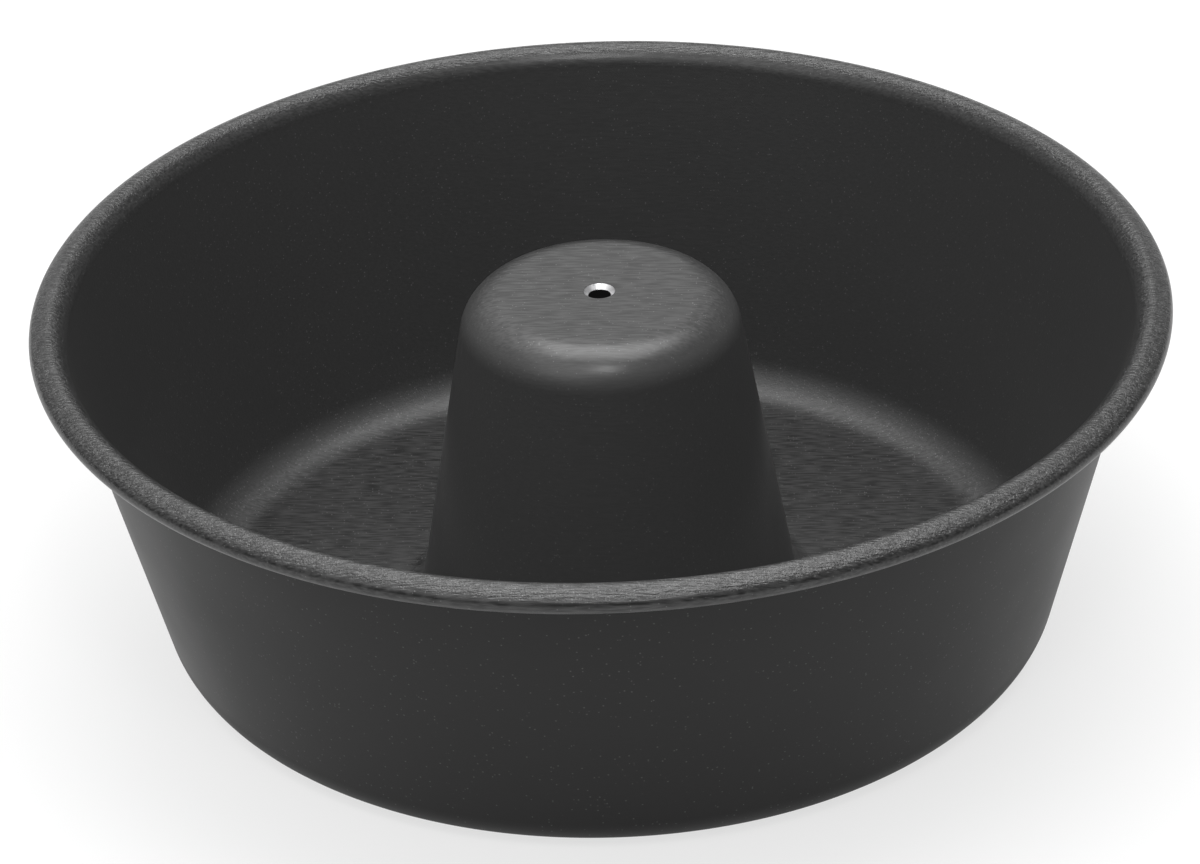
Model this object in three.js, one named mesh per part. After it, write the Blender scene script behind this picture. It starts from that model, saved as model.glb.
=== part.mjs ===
// Ring cake pan: one aluminium sheet pressed into a flat floor, a tapered wall and a hollow vented
// cone, with the edge of its rim rolled under. A non-stick lining covers the food side of the sheet
// and a satin coat covers its outside.
//
// Millimetres, +Z up. The origin is on the resting plane, at the centre of the pan. Every layer is
// a revolve of one section: an outline of the finished food side, and depths below that outline.

import * as THREE from "three";

// Layers of the pan, from the food side outwards, and the hairline between two layers.
const LINING_THICKNESS = 0.04;
const SHEET_THICKNESS = 1;
const COAT_THICKNESS = 0.03;
const BOND_CLEARANCE = 0.002;

// Wall and floor, on the food side. Diameters are where the straight lines would cross.
const RIM_HEIGHT = 82;
const MOUTH_DIAMETER = 238.8;
const FLOOR_DIAMETER = 198.4;
const HEEL_RADIUS = 9.75;

// Rim: the wall flares out to the crest, and the lip bows down to an edge that is rolled back under
// it. A tilt is how far the food side leans outwards from facing straight up.
const RIM_DIAMETER = 254;
const FLARE_RADIUS = 6;
const CREST_RADIUS = 2.3;
const EDGE_RADIUS = 2;
const FLARE_END_TILT = THREE.MathUtils.degToRad(-25);
const LIP_START_TILT = THREE.MathUtils.degToRad(16);
const LIP_END_TILT = THREE.MathUtils.degToRad(37);
const EDGE_RETURN = 2.5;

// Cone in the middle, on the food side.
const CONE_HEIGHT = 81.5;
const CONE_TOP_DIAMETER = 60;
const CONE_FOOT_DIAMETER = 87.75;
const SHOULDER_RADIUS = 10.4;
const FOOT_RADIUS = 6;

// Countersunk vent hole in the top of the cone.
const VENT_TOP_DIAMETER = 7;
const VENT_BOTTOM_DIAMETER = 5;

// Facets of the revolve, and of the arcs of the section.
const TURN_STEPS = 48;
const WIDE_ARC_STEPS = 3;
const FOOT_ARC_STEPS = 2;
const RIM_ARC_STEPS = 2;
const UNDER_ARC_STEPS = 3;

// Depths below the food side at which the layers begin and end.
const SHEET_FACE = LINING_THICKNESS + BOND_CLEARANCE;
const SHEET_BACK = SHEET_FACE + SHEET_THICKNESS;
const COAT_FACE = SHEET_BACK + BOND_CLEARANCE;
const PAN_THICKNESS = COAT_FACE + COAT_THICKNESS;

// A point of the section: x is the radius from the pan's axis, y is the height.
const at = (radius, height) => new THREE.Vector2(radius, height);

// The direction that lies a quarter turn to the left of the one given. The outline runs from the
// vent outwards, so its left is the food side.
const leftOf = (direction) => at(-direction.y, direction.x);

// The normal of the food side at a tilt, and the way the outline runs there.
const normalAt = (tilt) => at(Math.sin(tilt), Math.cos(tilt));
const headingAt = (tilt) => at(Math.cos(tilt), -Math.sin(tilt));

// Points of an arc between two tilts, each with its normal. The radius is negative where the centre
// lies on the food side.
function arc(centre, radius, startTilt, endTilt, steps) {
  return Array.from({ length: steps + 1 }, (_, step) => {
    const normal = normalAt(startTilt + ((endTilt - startTilt) * step) / steps);
    return { point: centre.clone().addScaledVector(normal, radius), normal };
  });
}

// The rim as arcs that run into each other, from the top of the wall to the cut edge of the sheet.
// The bow of the lip is as wide as the rim's diameter asks for.
function rimOutline(wallFoot, wallTop) {
  const wall = wallTop.clone().sub(wallFoot).normalize();
  const wallTilt = -wall.angle();

  const flareToCrest = FLARE_RADIUS - CREST_RADIUS;
  const flareHeight = RIM_HEIGHT - CREST_RADIUS - flareToCrest * Math.cos(FLARE_END_TILT);
  const flare = wallFoot.clone().addScaledVector(wall, (flareHeight - wallFoot.y) / wall.y);
  flare.x += FLARE_RADIUS / wall.y;
  const crest = flare.clone().addScaledVector(normalAt(FLARE_END_TILT), flareToCrest);

  const lipStart = crest.x + CREST_RADIUS * Math.sin(LIP_START_TILT);
  const lipEnd = RIM_DIAMETER / 2 - EDGE_RADIUS * (1 - Math.sin(LIP_END_TILT));
  const bowRadius = (lipEnd - lipStart) / (Math.sin(LIP_END_TILT) - Math.sin(LIP_START_TILT));
  const bow = crest.clone().addScaledVector(normalAt(LIP_START_TILT), CREST_RADIUS - bowRadius);
  const edge = bow.clone().addScaledVector(normalAt(LIP_END_TILT), bowRadius - EDGE_RADIUS);

  const outermost = Math.PI / 2;
  const underTilt = LIP_END_TILT + Math.PI;
  const under = arc(edge, EDGE_RADIUS, outermost, underTilt, UNDER_ARC_STEPS);
  const returned = under.at(-1).point.clone().addScaledVector(headingAt(underTilt), EDGE_RETURN);
  return [
    ...arc(flare, FLARE_RADIUS, wallTilt, FLARE_END_TILT, RIM_ARC_STEPS),
    ...arc(crest, CREST_RADIUS, FLARE_END_TILT, LIP_START_TILT, RIM_ARC_STEPS).slice(1),
    ...arc(bow, bowRadius, LIP_START_TILT, LIP_END_TILT, RIM_ARC_STEPS).slice(1),
    ...arc(edge, EDGE_RADIUS, LIP_END_TILT, outermost, RIM_ARC_STEPS).slice(1),
    ...under.slice(1),
    { point: returned, normal: normalAt(underTilt) },
  ];
}

// A corner between two straight lines, rounded by an arc that is tangent to both.
function roundCorner(before, corner, after, radius, steps) {
  const arriving = corner.clone().sub(before).normalize();
  const leaving = after.clone().sub(corner).normalize();
  const turn = Math.atan2(arriving.cross(leaving), arriving.dot(leaving));
  const bend = Math.sign(turn) * radius;
  const centre = corner
    .clone()
    .addScaledVector(arriving, -radius * Math.tan(Math.abs(turn) / 2))
    .addScaledVector(leftOf(arriving), bend);
  const tilt = -Math.atan2(arriving.y, arriving.x);
  return arc(centre, -bend, tilt, tilt - turn, steps);
}

// The section's outline in two stretches, from the vent to the cone's foot and from the wall's heel
// to the cut edge under the rim. The flat floor lies between them.
function panOutline() {
  const floor = PAN_THICKNESS;
  const vent = at(VENT_TOP_DIAMETER / 2, CONE_HEIGHT);
  const coneTop = at(CONE_TOP_DIAMETER / 2, CONE_HEIGHT);
  const coneFoot = at(CONE_FOOT_DIAMETER / 2, floor);
  const wallFoot = at(FLOOR_DIAMETER / 2, floor);
  const wallTop = at(MOUTH_DIAMETER / 2, RIM_HEIGHT);

  const countersink = (VENT_TOP_DIAMETER - VENT_BOTTOM_DIAMETER) / 2 / PAN_THICKNESS;
  return {
    cone: [
      { point: vent, normal: at(countersink, 1) },
      ...roundCorner(vent, coneTop, coneFoot, SHOULDER_RADIUS, WIDE_ARC_STEPS),
      ...roundCorner(coneTop, coneFoot, wallFoot, FOOT_RADIUS, FOOT_ARC_STEPS),
    ],
    wall: [
      ...roundCorner(coneFoot, wallFoot, wallTop, HEEL_RADIUS, WIDE_ARC_STEPS),
      ...rimOutline(wallFoot, wallTop),
    ],
  };
}

// A stretch of the outline, moved into the sheet by a depth.
const atDepth = (stretch, depth) =>
  stretch.map(({ point, normal }) => point.clone().addScaledVector(normal, -depth));

// The closed section of a layer: out along its far side, and back along its food side.
const closedSection = (near, far) => [...far, ...near.toReversed(), far[0]];

function revolve(name, section, material) {
  const geometry = new THREE.LatheGeometry(section, TURN_STEPS);
  geometry.rotateX(Math.PI / 2);
  const mesh = new THREE.Mesh(geometry, material);
  mesh.name = name;
  return mesh;
}

const { cone, wall } = panOutline();

// The sheet's flat base is as deep as the whole pan, so that it stands level with the coat beside it
// and carries the pan.
function pressedSheet() {
  const near = [...atDepth(cone, SHEET_FACE), ...atDepth(wall, SHEET_FACE)];
  const base = [...atDepth(cone.slice(-1), PAN_THICKNESS), ...atDepth(wall.slice(0, 1), PAN_THICKNESS)];
  const far = [...atDepth(cone, SHEET_BACK), ...base, ...atDepth(wall, SHEET_BACK)];
  const bareAluminium = new THREE.MeshStandardMaterial({
    color: 0xd9dadc,
    roughness: 0.35,
    metalness: 1,
  });
  return revolve("pressed_sheet", closedSection(near, far), bareAluminium);
}

function nonstickLining() {
  const whole = [...cone, ...wall];
  const darkNonstick = new THREE.MeshStandardMaterial({
    color: 0x333333,
    roughness: 0.5,
    metalness: 0.1,
  });
  const section = closedSection(atDepth(whole, 0), atDepth(whole, LINING_THICKNESS));
  return revolve("nonstick_lining", section, darkNonstick);
}

function satinCoat(name, stretch) {
  const satinGrey = new THREE.MeshStandardMaterial({
    color: 0x3b3b3b,
    roughness: 0.42,
    metalness: 0.1,
  });
  const section = closedSection(atDepth(stretch, COAT_FACE), atDepth(stretch, PAN_THICKNESS));
  return revolve(name, section, satinGrey);
}

const pan = new THREE.Group();
pan.add(
  pressedSheet(),
  nonstickLining(),
  satinCoat("outer_coat", wall),
  satinCoat("cone_coat", cone),
);

export default pan;
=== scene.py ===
"""Looks of a ring cake pan: a pressed aluminium sheet with a dark non-stick lining and a satin outer coat.

Metres, +Z up, origin on the resting plane at the pan's centre. Every piece is a revolve of one section:
an outline of the finished food side, and depths below that outline.
"""

import math

import bpy
import numpy as np
from mathutils import Matrix, Vector


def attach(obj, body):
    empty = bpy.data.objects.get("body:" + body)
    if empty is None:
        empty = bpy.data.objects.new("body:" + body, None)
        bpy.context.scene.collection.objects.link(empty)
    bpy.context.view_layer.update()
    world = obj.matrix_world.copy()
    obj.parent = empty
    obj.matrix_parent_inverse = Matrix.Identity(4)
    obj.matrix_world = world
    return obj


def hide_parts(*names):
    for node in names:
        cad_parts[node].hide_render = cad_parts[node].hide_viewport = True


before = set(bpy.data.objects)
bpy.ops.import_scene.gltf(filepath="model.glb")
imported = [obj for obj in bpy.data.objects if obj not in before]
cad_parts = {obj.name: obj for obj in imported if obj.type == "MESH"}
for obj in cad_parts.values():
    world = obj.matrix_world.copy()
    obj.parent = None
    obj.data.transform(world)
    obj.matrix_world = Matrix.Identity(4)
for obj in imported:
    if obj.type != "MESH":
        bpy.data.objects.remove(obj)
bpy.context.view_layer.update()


def grey(level):
    """An opaque grey: the same level of red, green and blue."""
    return (level, level, level, 1)


# Layers of the pan, from the food side outwards, and the hairline between two layers.
LINING_THICKNESS = 0.00004
SHEET_THICKNESS = 0.001
COAT_THICKNESS = 0.00003
BOND_CLEARANCE = 0.000002
SHEET_FACE = LINING_THICKNESS + BOND_CLEARANCE
SHEET_BACK = SHEET_FACE + SHEET_THICKNESS
COAT_FACE = SHEET_BACK + BOND_CLEARANCE
PAN_THICKNESS = COAT_FACE + COAT_THICKNESS

# Wall and floor, on the food side. Diameters are where the straight lines would cross.
RIM_HEIGHT = 0.082
MOUTH_DIAMETER = 0.2388
FLOOR_DIAMETER = 0.1984
HEEL_RADIUS = 0.00975

# Rim: the wall flares out to the crest, and the lip bows down to an edge that is rolled back under it.
# A tilt is how far the food side leans outwards from facing straight up.
RIM_DIAMETER = 0.254
FLARE_RADIUS = 0.006
CREST_RADIUS = 0.0023
EDGE_RADIUS = 0.002
FLARE_END_TILT = math.radians(-25)
LIP_START_TILT = math.radians(16)
LIP_END_TILT = math.radians(37)
EDGE_RETURN = 0.0025

# Cone in the middle, on the food side, with its countersunk vent hole.
CONE_HEIGHT = 0.0815
CONE_TOP_DIAMETER = 0.060
CONE_FOOT_DIAMETER = 0.08775
SHOULDER_RADIUS = 0.0104
FOOT_RADIUS = 0.006
VENT_TOP_DIAMETER = 0.007
VENT_BOTTOM_DIAMETER = 0.005

# Fineness of the meshes: steps of a full turn, the angle of one step of an arc and the fewest steps of an
# arc, how far from a bend a flat has its extra loop, and the angle from which an edge is shaded sharp.
TURN_STEPS = 288
ARC_STEP = math.radians(5)
ARC_FEWEST_STEPS = 4
EDGE_LOOP = 0.0004
SHARP_EDGE = math.radians(30)

# Zones that the pressing left in the films, and the cone's zone, where painted light lightens the lining.
# The first length of a fade is where a zone begins, the second is where it is full. They are measured from
# half the pan's height for the flats, from the axis for the lip
# and the cone, and from the middle radius of the rim or the heel for those two.
FLAT_FADE = (0.036, 0.040)
LIP_FADE = (0.1190, 0.1215)
# The cone's fade spreads painted light over the cone's side.
CONE_PAINTED_LIGHT_FADE = (0.060, 0.050)
RIM_MIDDLE = 0.1232
RIM_FADE = (0.0036, 0.0024)
HEEL_MIDDLE = 0.0963
HEEL_FADE = (0.0065, 0.0035)

# What the zones do: the share of the lined colour that the drawn wall and cone keep, and how much of the
# rim's coarseness and how much more roughness the heel has.
WALL_LINES = 0.15
HEEL_COARSENESS = 0.3
HEEL_DULLNESS = 0.13

# Patterns of the films. The grain runs along X, turned a little. A range is the part of a noise, or of the
# distance from the middle of a cell, that is spread from nothing to all.
GRAIN_TURN = math.radians(4)
GRAIN_RANGE = (0.35, 0.65)
FLECK_RANGE = (0.5, 0.2)
CLOUDS_PER_METRE = 30
CLOUD_RANGE = (0.3, 0.7)

# Looks of the two films. "lines" are per metre, "line_length" is in widths of a line, and "grain" is the
# size of a dot of the spray. The first of a pair is for the plain film and the second for the rim, where
# the turning of the sheet coarsened the film, but the two of "roughness" are its least and its most. The
# flecks are partly the film's own pale specks and partly painted glints, and the rim's larger share of
# them is painted glint where the highlights fall. The cone's colour is painted light.
LINING = {
    "wall_color": grey(0.041),
    # Painted light: the cone's colour is lighter than the wall's, standing in for the light on the cone's
    # side.
    "cone_painted_light_color": grey(0.056),
    "color": grey(0.009),
    "line_color": grey(0.037),
    "rim_line_color": grey(0.038),
    # Flecks: partly the film's own pale specks, partly painted glints; the rim's larger share adds painted
    # glints where highlights fall.
    "fleck_and_glint_color": grey(0.110),
    "fleck_and_glint_share": (0.03, 0.22),
    "grain": 0.00038,
    "stipple_depth": (0.000004, 0.000130),
    "lines": 1900,
    "line_length": 9,
    "line_depth": (0.000007, 0.000100),
    "roughness": (0.29, 0.34),
    "specular": 0.5,
}
COAT = {
    "wall_color": grey(0.025),
    "cone_painted_light_color": grey(0.025),
    "color": grey(0.023),
    "line_color": grey(0.027),
    "rim_line_color": grey(0.027),
    # The coat's flecks are partly its own pale specks and partly painted glints.
    "fleck_and_glint_color": grey(0.080),
    "fleck_and_glint_share": (0.03, 0.03),
    "grain": 0.0005,
    "stipple_depth": (0.000003, 0.000003),
    "lines": 1900,
    "line_length": 9,
    "line_depth": (0.000001, 0.000001),
    "roughness": (0.38, 0.44),
    "specular": 0.1,
}

# Bare metal, with the rings that a cutting tool leaves.
METAL_COLOR = (0.86, 0.86, 0.87, 1)
METAL_DULL_COLOR = (0.70, 0.70, 0.71, 1)
METAL_ROUGHNESS = (0.22, 0.42)
METAL_RINGS_PER_METRE = 6000
METAL_RING_DEPTH = 0.000006

# Camera, fitted to the photograph of 1200 by 864 pixels.
IMAGE_WIDTH_PX = 1200
FOCAL_LENGTH_PX = 5174.08
SENSOR_WIDTH_MM = 36
CAMERA_DISTANCE = 1.17021
CAMERA_ELEVATION = math.radians(30.7225)
CAMERA_ROLL = math.radians(-2.1466)
CAMERA_AIM = (-0.00105, 0.0, 0.04496)

# Studio: a white floor, a dome that is bright high up behind the pan and on the left, and soft lamps, each
# with its place, its width and depth, and its power in watts.
FLOOR_HALF_SIDE = 4.0
FLOOR_COLOR = grey(0.80)
SHADOW_SHARE = 0.30
DOME_LEVEL = 0.04
DOME_TOP = 0.30
DOME_FRONT = 0.3
DOME_BACK = 5.5
DOME_BACK_LEAN = 0.25
DOME_LEFT = 1.3
LAMP_AIM = (0, 0, 0.05)
LAMPS = {
    "overhead": ((0.05, 0.165, 1.30), (1.2, 0.86), 13.5),
    "canopy": ((0.0, 0.16, 1.40), (2.6, 1.0), 8.5),
    "front": ((0.05, -0.79, 1.12), (0.26, 0.26), 2.6),
    "fill": ((-0.60, -0.80, 1.10), (1.0, 1.0), 3),
}


def left_of(direction):
    """The direction a quarter turn to the left: the food side of an outline that runs outwards."""
    return np.array([-direction[1], direction[0]])


def normal_at(tilt):
    """The food side's normal at a tilt, (sin tilt, cos tilt), or one normal per tilt of an array."""
    return np.stack([np.sin(tilt), np.cos(tilt)], axis=-1)


def arc(centre, radius, start_tilt, end_tilt):
    """Points of an arc between two tilts and their normals: the centre plus the radius along the normal.
    The radius is negative where the centre lies on the food side."""
    steps = max(ARC_FEWEST_STEPS, math.ceil(abs(end_tilt - start_tilt) / ARC_STEP))
    normals = normal_at(np.linspace(start_tilt, end_tilt, steps + 1))
    return centre + radius * normals, normals


def rim_outline(wall_foot, wall_top):
    """The rim as arcs that run into each other, and the cut edge of the sheet. Two arcs meet where their
    centres lie on one normal. The bow of the lip is as wide as the rim's diameter asks for."""
    wall = (wall_top - wall_foot) / np.linalg.norm(wall_top - wall_foot)
    wall_tilt = -math.atan2(wall[1], wall[0])

    flare_to_crest = FLARE_RADIUS - CREST_RADIUS
    flare_height = RIM_HEIGHT - CREST_RADIUS - flare_to_crest * math.cos(FLARE_END_TILT)
    on_wall = wall_foot + wall * (flare_height - wall_foot[1]) / wall[1]
    flare = on_wall + np.array([FLARE_RADIUS / wall[1], 0])
    crest = flare + flare_to_crest * normal_at(FLARE_END_TILT)

    lip_start = crest[0] + CREST_RADIUS * math.sin(LIP_START_TILT)
    lip_end = RIM_DIAMETER / 2 - EDGE_RADIUS * (1 - math.sin(LIP_END_TILT))
    bow_radius = (lip_end - lip_start) / (math.sin(LIP_END_TILT) - math.sin(LIP_START_TILT))
    bow = crest + (CREST_RADIUS - bow_radius) * normal_at(LIP_START_TILT)
    edge = bow + (bow_radius - EDGE_RADIUS) * normal_at(LIP_END_TILT)

    under_tilt = LIP_END_TILT + math.pi
    under_end = edge + EDGE_RADIUS * normal_at(under_tilt)
    heading = np.array([math.cos(under_tilt), -math.sin(under_tilt)])
    return [
        arc(flare, FLARE_RADIUS, wall_tilt, FLARE_END_TILT),
        arc(crest, CREST_RADIUS, FLARE_END_TILT, LIP_START_TILT),
        arc(bow, bow_radius, LIP_START_TILT, LIP_END_TILT),
        arc(edge, EDGE_RADIUS, LIP_END_TILT, under_tilt),
        ((under_end + EDGE_RETURN * heading)[None], normal_at(np.array([under_tilt]))),
    ]


def rounded_corner(before, corner, after, radius):
    """A corner between two straight lines, rounded by an arc that is tangent to both. The arc begins the
    radius times the tangent of half the turn before the corner."""
    arriving = (corner - before) / np.linalg.norm(corner - before)
    leaving = (after - corner) / np.linalg.norm(after - corner)
    turn = math.atan2(arriving[0] * leaving[1] - arriving[1] * leaving[0], arriving @ leaving)
    bend = math.copysign(radius, turn)
    centre = corner - arriving * radius * math.tan(abs(turn) / 2) + left_of(arriving) * bend
    tilt = -math.atan2(arriving[1], arriving[0])
    return arc(centre, -bend, tilt, tilt - turn)


def pan_outline():
    """Points of the whole food side and their normals, from the vent to the cut edge under the rim. Each
    straight stretch has a point close to its two ends, so that the shading of the flats stays even."""
    vent = np.array([VENT_TOP_DIAMETER / 2, CONE_HEIGHT])
    cone_top = np.array([CONE_TOP_DIAMETER / 2, CONE_HEIGHT])
    cone_foot = np.array([CONE_FOOT_DIAMETER / 2, PAN_THICKNESS])
    wall_foot = np.array([FLOOR_DIAMETER / 2, PAN_THICKNESS])
    wall_top = np.array([MOUTH_DIAMETER / 2, RIM_HEIGHT])
    sink = (VENT_TOP_DIAMETER - VENT_BOTTOM_DIAMETER) / 2 / PAN_THICKNESS

    points = [vent[None]]
    normals = [np.array([[sink, 1.0]])]
    for arc_points, arc_normals in [
        rounded_corner(vent, cone_top, cone_foot, SHOULDER_RADIUS),
        rounded_corner(cone_top, cone_foot, wall_foot, FOOT_RADIUS),
        rounded_corner(cone_foot, wall_foot, wall_top, HEEL_RADIUS),
        *rim_outline(wall_foot, wall_top),
    ]:
        last, first = points[-1][-1], arc_points[0]
        length = np.linalg.norm(first - last)
        if length < EDGE_LOOP:
            arc_points, arc_normals = arc_points[1:], arc_normals[1:]
        else:
            ahead = (first - last) / length
            points.append(np.array([last + ahead * EDGE_LOOP, first - ahead * EDGE_LOOP]))
            normals.append(np.array([arc_normals[0], arc_normals[0]]))
        points.append(arc_points)
        normals.append(arc_normals)
    return np.concatenate(points), np.concatenate(normals)


def carried_round(radius, height):
    """A section carried round the axis. Each of its points becomes one vertex per step of the turn, at
    (radius cos turn, radius sin turn, height)."""
    turn = np.linspace(0, 2 * math.pi, TURN_STEPS, endpoint=False)[:, None]
    places = [np.cos(turn) * radius, np.sin(turn) * radius, np.ones_like(turn) * height]
    return np.stack(places, axis=-1)


def pan_layer(name, near_depth, far_depth, material):
    """A layer of the pan: the section between two depths below the outline, out along the far one and back
    along the near one, carried round the axis."""
    points, normals = pan_outline()
    section = np.concatenate([points - far_depth * normals, (points - near_depth * normals)[::-1]])
    vertices = carried_round(section[:, 0], section[:, 1])

    here = np.arange(TURN_STEPS * len(section)).reshape(TURN_STEPS, len(section))
    ahead = np.roll(here, -1, axis=0)
    quads = np.stack([here, ahead, np.roll(ahead, -1, axis=1), np.roll(here, -1, axis=1)], axis=-1)

    mesh = bpy.data.meshes.new(name)
    mesh.from_pydata(vertices.reshape(-1, 3), [], quads.reshape(-1, 4))
    mesh.shade_smooth()
    mesh.set_sharp_from_angle(angle=SHARP_EDGE)
    mesh.materials.append(material)
    piece = bpy.data.objects.new(name, mesh)
    bpy.context.scene.collection.objects.link(piece)
    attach(piece, "root")
    return piece


def add_node(tree, kind, inputs=None, **settings):
    """A shader node with its settings, and with a value or a link for each named or numbered input."""
    node = tree.nodes.new(kind)
    for setting, value in settings.items():
        setattr(node, setting, value)
    for socket, value in (inputs or {}).items():
        if isinstance(value, bpy.types.NodeSocket):
            tree.links.new(value, node.inputs[socket])
        else:
            node.inputs[socket].default_value = value
    return node


def math_node(tree, operation, *values):
    """The output of a Math node."""
    return add_node(tree, "ShaderNodeMath", dict(enumerate(values)), operation=operation).outputs[0]


def spread(tree, value, taken=(0, 1), given=(0, 1)):
    """A value carried in a straight line from the range taken to the range given, and kept inside it."""
    ends = {"From Min": taken[0], "From Max": taken[1], "To Min": given[0], "To Max": given[1]}
    return add_node(tree, "ShaderNodeMapRange", {"Value": value, **ends}).outputs["Result"]


def mixed_color(tree, factor, first, second):
    """The first colour where the factor is 0, the second where it is 1, and a straight mix between."""
    mix = {"Factor": factor, 6: first, 7: second}
    return add_node(tree, "ShaderNodeMix", mix, data_type="RGBA").outputs[2]


def place_in_pan(tree):
    """The place of a surface point in the pan's own frame."""
    return add_node(tree, "ShaderNodeTexCoord").outputs["Object"]


def radius_and_height(tree):
    """The distance from the pan's axis, which is the length of (x, y, 0), and the height z."""
    place = place_in_pan(tree)
    across = add_node(tree, "ShaderNodeVectorMath", {0: place, 1: (1, 1, 0)}, operation="MULTIPLY")
    radius = add_node(tree, "ShaderNodeVectorMath", {0: across.outputs[0]}, operation="LENGTH")
    height = add_node(tree, "ShaderNodeSeparateXYZ", {0: place})
    return radius.outputs["Value"], height.outputs["Z"]


def new_group(name, inputs, outputs):
    """A node group whose named sockets are single values: the group, and the sockets inside it."""
    group = bpy.data.node_groups.new(name, "ShaderNodeTree")
    for socket in inputs:
        group.interface.new_socket(socket, in_out="INPUT", socket_type="NodeSocketFloat")
    for socket in outputs:
        group.interface.new_socket(socket, in_out="OUTPUT", socket_type="NodeSocketFloat")
    return group, group.nodes.new("NodeGroupInput").outputs, group.nodes.new("NodeGroupOutput").inputs


def straight_grain_group():
    """Fine straight lines that rolling leaves in a sheet: noise over the place in the pan, turned a little
    and drawn out to (x * Lines / Length, y * Lines, z * Lines), where Lines is their number per metre and
    Length is how many widths long a line is."""
    group, given, result = new_group("straight_grain", ["Lines per metre", "Length"], ["Lines"])
    turned = add_node(
        group, "ShaderNodeMapping", {"Vector": place_in_pan(group), "Rotation": (0, 0, GRAIN_TURN)})
    lines = given["Lines per metre"]
    along = math_node(group, "DIVIDE", lines, given["Length"])
    stretch = add_node(group, "ShaderNodeCombineXYZ", {"X": along, "Y": lines, "Z": lines})
    drawn = add_node(
        group, "ShaderNodeVectorMath", {0: turned.outputs[0], 1: stretch.outputs[0]}, operation="MULTIPLY")
    noise = add_node(group, "ShaderNodeTexNoise", {"Vector": drawn.outputs[0], "Scale": 1, "Detail": 1})
    group.links.new(spread(group, noise.outputs[0], GRAIN_RANGE), result["Lines"])
    return group


def sprayed_film_group():
    """A film that was sprayed on. Stipple is fine even noise, with features as large as Grain. The flecks
    are a soft pale dot in a Share of the cells of that size, picked by the cell's random red: partly the
    film's own specks and partly painted glints."""
    group, given, result = new_group("sprayed_film", ["Grain", "Share"], ["Stipple", "Flecks_and_glints"])
    place = place_in_pan(group)
    fineness = math_node(group, "DIVIDE", 1.0, given["Grain"])
    stipple = add_node(group, "ShaderNodeTexNoise", {"Vector": place, "Scale": fineness, "Detail": 1})
    cells = add_node(group, "ShaderNodeTexVoronoi", {"Vector": place, "Scale": fineness})
    pick = add_node(group, "ShaderNodeSeparateColor", {0: cells.outputs["Color"]}).outputs["Red"]
    chosen = math_node(group, "LESS_THAN", pick, given["Share"])
    dot = spread(group, cells.outputs["Distance"], FLECK_RANGE)
    group.links.new(stipple.outputs[0], result["Stipple"])
    group.links.new(math_node(group, "MULTIPLY", chosen, dot), result["Flecks_and_glints"])
    return group


def pressed_zones_group():
    """How the pressing changed the sheet, and where painted light lightens the cone. Lined is the larger of
    a fade over the distance from half the pan's height, which begins at WALL_LINES, and a fade towards the
    lip.
    Cone, the mask of the cone's painted light, grows towards the axis. Rim and Heel are full at a middle
    radius and fade out on both sides of it; they also gather the flecks' painted glints."""
    group, _, result = new_group("pressed_zones", [], ["Lined", "Cone", "Rim", "Heel"])
    radius, height = radius_and_height(group)

    def distance(value, middle):
        return math_node(group, "ABSOLUTE", math_node(group, "SUBTRACT", value, middle))

    flat = spread(group, distance(height, RIM_HEIGHT / 2), FLAT_FADE, (WALL_LINES, 1))
    lip = spread(group, radius, LIP_FADE)
    group.links.new(math_node(group, "MAXIMUM", flat, lip), result["Lined"])
    group.links.new(spread(group, radius, CONE_PAINTED_LIGHT_FADE), result["Cone"])
    group.links.new(spread(group, distance(radius, RIM_MIDDLE), RIM_FADE), result["Rim"])
    group.links.new(spread(group, distance(radius, HEEL_MIDDLE), HEEL_FADE), result["Heel"])
    return group


def new_material(name):
    """A material with its node tree and its Principled shader."""
    material = bpy.data.materials.new(name)
    material.use_nodes = True
    return material, material.node_tree, material.node_tree.nodes["Principled BSDF"]


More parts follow.
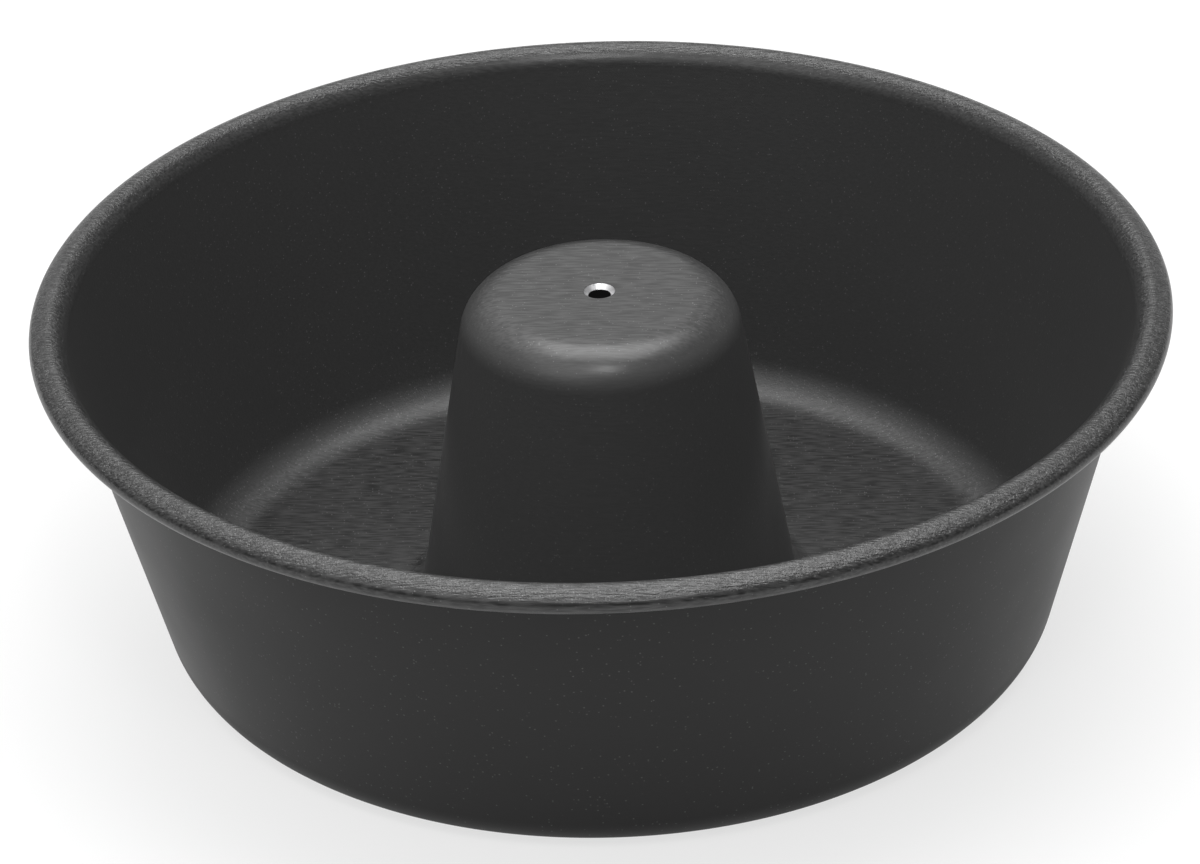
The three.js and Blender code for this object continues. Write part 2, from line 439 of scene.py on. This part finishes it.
def film_material(name, look, straight_grain, sprayed_film, pressed_zones):
    """A dark film on the sheet. Its colour goes from that of the wall, or the lighter colour of the cone,
    which is painted light, to the lines of the grain as Lined grows, with flecks on top that are partly the
    film's own pale specks and partly painted glints. Its relief is the lines and the stipple, each times its
    depth. Both are coarsest on the rim, and the stipple and flecks a little coarser on the heel too, so the
    painted glints gather on the rim and heel. Its roughness varies in slow clouds and is higher on the heel."""
    material, tree, shader = new_material(name)
    zones = add_node(tree, "ShaderNodeGroup", node_tree=pressed_zones).outputs
    grain = {"Lines per metre": look["lines"], "Length": look["line_length"]}
    lines = add_node(tree, "ShaderNodeGroup", grain, node_tree=straight_grain)
    film = add_node(tree, "ShaderNodeGroup", {"Grain": look["grain"]}, node_tree=sprayed_film)

    coarse = math_node(tree, "MULTIPLY_ADD", zones["Heel"], HEEL_COARSENESS, zones["Rim"])
    # Painted glints: the share of pale flecks grows on the rim and heel, where the highlights fall.
    tree.links.new(spread(tree, coarse, given=look["fleck_and_glint_share"]), film.inputs["Share"])
    line_color = mixed_color(tree, zones["Rim"], look["line_color"], look["rim_line_color"])
    lined = mixed_color(tree, lines.outputs["Lines"], look["color"], line_color)
    # Painted light: the cone's side takes a lighter colour than the wall, standing in for the light on it.
    drawn = mixed_color(tree, zones["Cone"], look["wall_color"], look["cone_painted_light_color"])
    zoned = mixed_color(tree, zones["Lined"], drawn, lined)
    # Pale flecks on top: partly the film's own specks, partly painted glints.
    color = mixed_color(tree, film.outputs["Flecks_and_glints"], zoned, look["fleck_and_glint_color"])
    tree.links.new(color, shader.inputs["Base Color"])

    pattern = {"Vector": place_in_pan(tree), "Scale": CLOUDS_PER_METRE, "Detail": 2}
    clouds = add_node(tree, "ShaderNodeTexNoise", pattern).outputs[0]
    smooth = spread(tree, clouds, CLOUD_RANGE, look["roughness"])
    roughness = math_node(tree, "MULTIPLY_ADD", zones["Heel"], HEEL_DULLNESS, smooth)
    tree.links.new(roughness, shader.inputs["Roughness"])

    line_depth = spread(tree, zones["Rim"], given=look["line_depth"])
    stipple_depth = spread(tree, coarse, given=look["stipple_depth"])
    relief = math_node(tree, "MULTIPLY", lines.outputs["Lines"], line_depth)
    height = math_node(tree, "MULTIPLY_ADD", film.outputs["Stipple"], stipple_depth, relief)
    bump = add_node(tree, "ShaderNodeBump", {"Height": height, "Distance": 1.0})
    tree.links.new(bump.outputs["Normal"], shader.inputs["Normal"])
    shader.inputs["Specular IOR Level"].default_value = look["specular"]
    return material


def bare_metal_material():
    """Bare aluminium at the countersunk vent and the cut edge, with the rings that a tool leaves: noise over
    the distance from the axis and the height alone."""
    material, tree, shader = new_material("bare_aluminium")
    radius, height = radius_and_height(tree)
    ring = add_node(tree, "ShaderNodeCombineXYZ", {"X": radius, "Y": height})
    pattern = {"Vector": ring.outputs[0], "Scale": METAL_RINGS_PER_METRE, "Detail": 2}
    rings = add_node(tree, "ShaderNodeTexNoise", pattern, noise_dimensions="2D").outputs[0]
    color = mixed_color(tree, rings, METAL_COLOR, METAL_DULL_COLOR)
    tree.links.new(color, shader.inputs["Base Color"])
    tree.links.new(spread(tree, rings, given=METAL_ROUGHNESS), shader.inputs["Roughness"])
    bump = add_node(tree, "ShaderNodeBump", {"Height": rings, "Distance": METAL_RING_DEPTH})
    tree.links.new(bump.outputs["Normal"], shader.inputs["Normal"])
    shader.inputs["Metallic"].default_value = 1
    return material


def make_pan():
    """The three layers of the pan, from the food side outwards."""
    films = straight_grain_group(), sprayed_film_group(), pressed_zones_group()

    lining = pan_layer("lining", 0, LINING_THICKNESS, film_material("nonstick", LINING, *films))
    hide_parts("nonstick_lining")

    sheet = pan_layer("sheet", SHEET_FACE, SHEET_BACK, bare_metal_material())
    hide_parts("pressed_sheet")

    coat = pan_layer("coat", COAT_FACE, PAN_THICKNESS, film_material("satin_coat", COAT, *films))
    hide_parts("outer_coat", "cone_coat")


def make_camera():
    """The camera: tilted to its elevation, moved back from its aim by its distance, and rolled."""
    data = bpy.data.cameras.new("camera")
    data.sensor_width = SENSOR_WIDTH_MM
    data.lens = FOCAL_LENGTH_PX * SENSOR_WIDTH_MM / IMAGE_WIDTH_PX
    camera = bpy.data.objects.new("camera", data)
    bpy.context.scene.collection.objects.link(camera)
    tilt = Matrix.Rotation(math.pi / 2 - CAMERA_ELEVATION, 4, "X")
    roll = Matrix.Rotation(CAMERA_ROLL, 4, "Z")
    step_back = Matrix.Translation((0, 0, CAMERA_DISTANCE))
    camera.matrix_world = Matrix.Translation(CAMERA_AIM) @ tilt @ step_back @ roll
    bpy.context.scene.camera = camera


def make_dome():
    """Light from all round. Its strength in the direction (x, y, z) is level + top * up
    + front * before * up + back * behind^2 * up^2 * (1 - lean * x) + left * leftward * up^2, where up,
    before, behind and leftward are z, -y, y and -x, or 0 if that is less than 0."""
    world = bpy.data.worlds.new("dome")
    world.use_nodes = True
    bpy.context.scene.world = world
    tree = world.node_tree
    direction = add_node(tree, "ShaderNodeTexCoord").outputs["Generated"]
    axes = add_node(tree, "ShaderNodeSeparateXYZ", {0: direction}).outputs

    def product(first, second):
        return math_node(tree, "MULTIPLY", first, second)

    def facing(axis, sign):
        return math_node(tree, "MAXIMUM", product(axes[axis], sign), 0.0)

    up = facing("Z", 1)
    up_squared = math_node(tree, "POWER", up, 2.0)
    before = product(facing("Y", -1), up)
    behind = product(math_node(tree, "POWER", facing("Y", 1), 2.0), up_squared)
    lean = math_node(tree, "MULTIPLY_ADD", axes["X"], -DOME_BACK_LEAN, 1.0)
    behind = product(behind, lean)
    leftward = product(facing("X", -1), up_squared)

    level = math_node(tree, "MULTIPLY_ADD", up, DOME_TOP, DOME_LEVEL)
    for light, strength in [(before, DOME_FRONT), (behind, DOME_BACK), (leftward, DOME_LEFT)]:
        level = math_node(tree, "MULTIPLY_ADD", light, strength, level)
    background = tree.nodes["Background"]
    background.inputs["Color"].default_value = grey(1)
    tree.links.new(level, background.inputs["Strength"])


def make_floor():
    """A white floor that keeps a pale shadow. To the camera and in reflections, all of it but the shadow's
    share is white by itself. That share is lit, and for all other rays the whole floor is."""
    material, tree, shader = new_material("floor")
    shader.inputs["Base Color"].default_value = FLOOR_COLOR
    shader.inputs["Roughness"].default_value = 1
    shader.inputs["Specular IOR Level"].default_value = 0
    path = add_node(tree, "ShaderNodeLightPath").outputs
    mirrored = math_node(tree, "MAXIMUM", path["Is Glossy Ray"], path["Is Transmission Ray"])
    seen = math_node(tree, "MAXIMUM", path["Is Camera Ray"], mirrored)
    share = math_node(tree, "MULTIPLY", seen, 1 - SHADOW_SHARE)
    white = add_node(tree, "ShaderNodeEmission", {"Strength": 1.0})
    mixed = add_node(tree, "ShaderNodeMixShader", {0: share, 1: shader.outputs[0], 2: white.outputs[0]})
    tree.links.new(mixed.outputs[0], tree.nodes["Material Output"].inputs["Surface"])

    side = FLOOR_HALF_SIDE
    corners = [(-side, -side, 0), (side, -side, 0), (side, side, 0), (-side, side, 0)]
    mesh = bpy.data.meshes.new("floor")
    mesh.from_pydata(corners, [], [(0, 1, 2, 3)])
    mesh.materials.append(material)
    floor = bpy.data.objects.new("floor", mesh)
    bpy.context.scene.collection.objects.link(floor)


def make_lamp(name, place, size, power):
    """A rectangular soft lamp that faces the pan and isn't seen itself."""
    data = bpy.data.lights.new(name, "AREA")
    data.shape = "RECTANGLE"
    data.size, data.size_y = size
    data.energy = power
    lamp = bpy.data.objects.new(name, data)
    bpy.context.scene.collection.objects.link(lamp)
    lamp.location = place
    lamp.rotation_mode = "QUATERNION"
    lamp.rotation_quaternion = (Vector(LAMP_AIM) - Vector(place)).to_track_quat("-Z", "Y")
    lamp.visible_camera = False


make_pan()
make_camera()
make_dome()
make_floor()
for lamp_name, (lamp_place, lamp_size, lamp_power) in LAMPS.items():
    make_lamp(lamp_name, lamp_place, lamp_size, lamp_power)
bpy.context.scene.view_settings.view_transform = "Standard"
